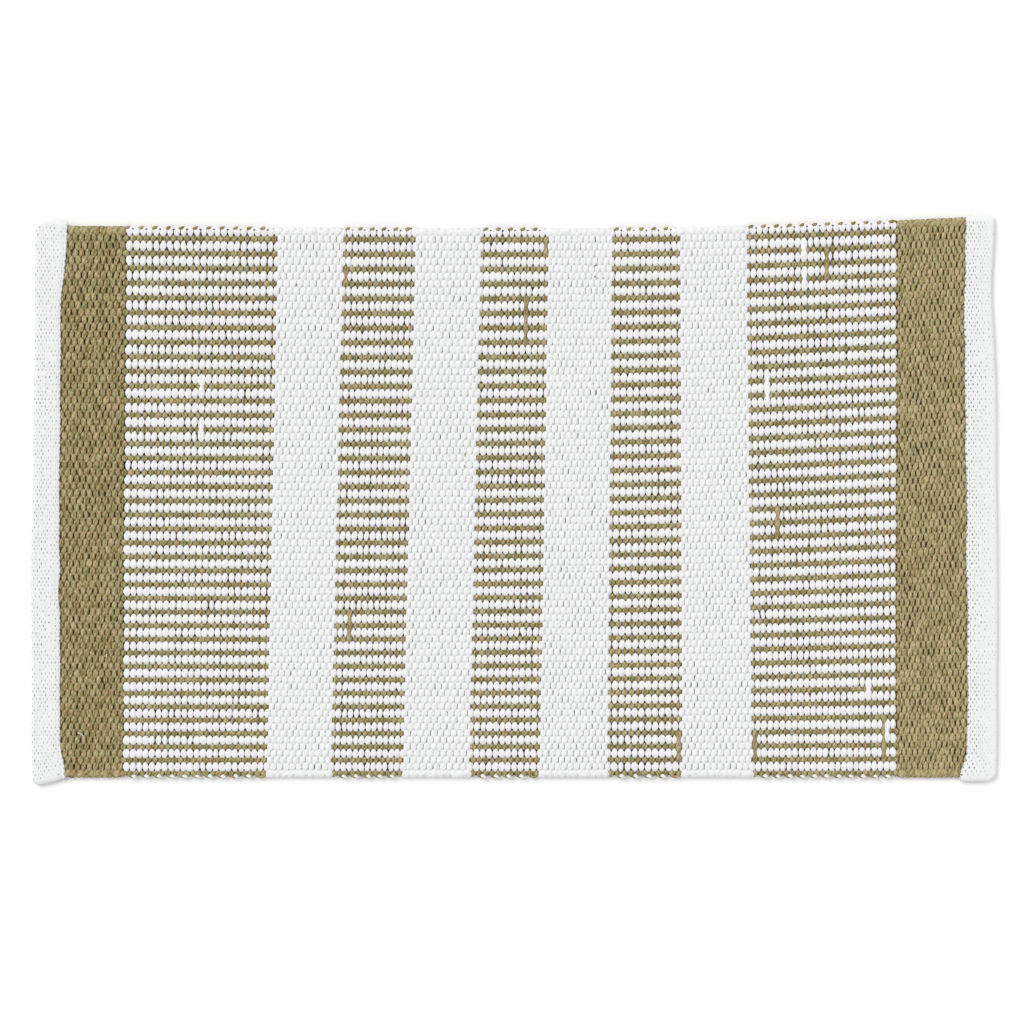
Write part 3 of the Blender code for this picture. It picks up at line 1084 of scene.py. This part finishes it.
for side, end, inwards in (("left", leftEnd, 1), ("right", rightEnd, -1)):
    low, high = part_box(f"hem_{side}")
    border = borders[0] if inwards > 0 else borders[-1]
    span = high.y - low.y
    piece, flatWidth = addHem(side, end, inwards, abs(border - end), span, (high.y + low.y) / 2)
    finishPiece(piece, "white_heading", f"hem_{side}")

    for kind in ("stitch", "bobbin"):
        node = f"hem_{kind}_{side}"
        start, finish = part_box(node)[0].y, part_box(node)[1].y
        count = int((finish - start) / seam["stitch"])
        t = np.arange(count * seam["stepsPerStitch"] + 1) / seam["stepsPerStitch"]
        y = start + (finish - start) * t / count
        bow = np.abs(np.sin(np.pi * t)) ** 0.6
        x = border - inwards * seam["fromEdge"] + lean(border) * y / halfWidth
        z = seam["underHigh"] - seam["underBow"] * bow
        if kind == "stitch":
            stray = lies((y - low.y) / span, hemLies[side]["edge"])
            x = x + inwards * stray * seam["follow"]
            z = hem["top"] - seam["topLow"] + seam["topBow"] * bow
        x = x + wander(y, *seam["waver"])
        sideways = np.tile([1.0, 0.0, 0.0], (len(y), 1))
        centre = np.stack([x, y, z], axis=1)
        # painted shade: crown darkens the thread towards where it dives into the cloth
        crown = 0.3 + 0.7 * bow
        threads = [strand(centre, sideways, seam["wide"], seam["high"], 0.0, crown)]
        if node == "hem_stitch_left":
            threads += [looseEnd(*place) for place in looseEnds]
        piece = addStrands(f"{node}_thread", threads, threadCotton, around=6, perStrip=120)
        finishPiece(piece, "sewing_thread", node)
print("hems sewn")

stage = {
    "middle": (-0.0027, -0.0094),
    "viewWidth": 0.9182,
    "lens": 100.0,
    "sensor": 36.0,
    "skyStrength": 0.74,
    "sunStrength": 1.45,
    "sunSpread": 36.0,  # degrees, for a soft edge to the shadow
    "sunTurn": (-28, -32, 0),
    "floorReach": 60.0,
    "floorPale": colour(0.965, 0.965, 0.965),
    "floorPaler": colour(0.975, 0.975, 0.975),
}
scene = bpy.context.scene
camera = bpy.data.cameras.new("camera")
camera.lens = stage["lens"]
camera.sensor_width = stage["sensor"]
camera.clip_start = 0.05
camera.clip_end = 200.0
eye = bpy.data.objects.new("camera", camera)
distance = stage["viewWidth"] * stage["lens"] / stage["sensor"]
eye.location = (*stage["middle"], distance + cloth["thickness"])
scene.collection.objects.link(eye)
scene.camera = eye

floorMesh = bpy.data.meshes.new("floor")
reach = stage["floorReach"]
floorMesh.from_pydata(
    [(-reach, -reach, 0), (reach, -reach, 0), (reach, reach, 0), (-reach, reach, 0)],
    [],
    [(0, 1, 2, 3)],
)
floor = bpy.data.objects.new("floor", floorMesh)
floor.location.z = -0.0001
scene.collection.objects.link(floor)
floorPaint, floorShader, floorStart = startMaterial("floor_paper")
grain = noise(floorStart, floorStart.node("ShaderNodeTexCoord", {}, {}, "Object"), 40.0, 2.0)
join(blend(grain, stage["floorPale"], stage["floorPaler"]), floorShader, "Base Color")
floorShader.inputs["Roughness"].default_value = 0.9
floorShader.inputs["Specular IOR Level"].default_value = 0.1
floorMesh.materials.append(floorPaint)

world = bpy.data.worlds.new("studio")
world.use_nodes = True
world.node_tree.nodes["Background"].inputs["Color"].default_value = colour(1.0, 1.0, 1.0)
world.node_tree.nodes["Background"].inputs["Strength"].default_value = stage["skyStrength"]
scene.world = world

lamp = bpy.data.lights.new("lamp", "SUN")
lamp.energy = stage["sunStrength"]
lamp.angle = math.radians(stage["sunSpread"])
lampObject = bpy.data.objects.new("lamp", lamp)
lampObject.rotation_euler = [math.radians(turn) for turn in stage["sunTurn"]]
scene.collection.objects.link(lampObject)

scene.view_settings.view_transform = "Standard"
scene.view_settings.look = "None"
print("stage set")
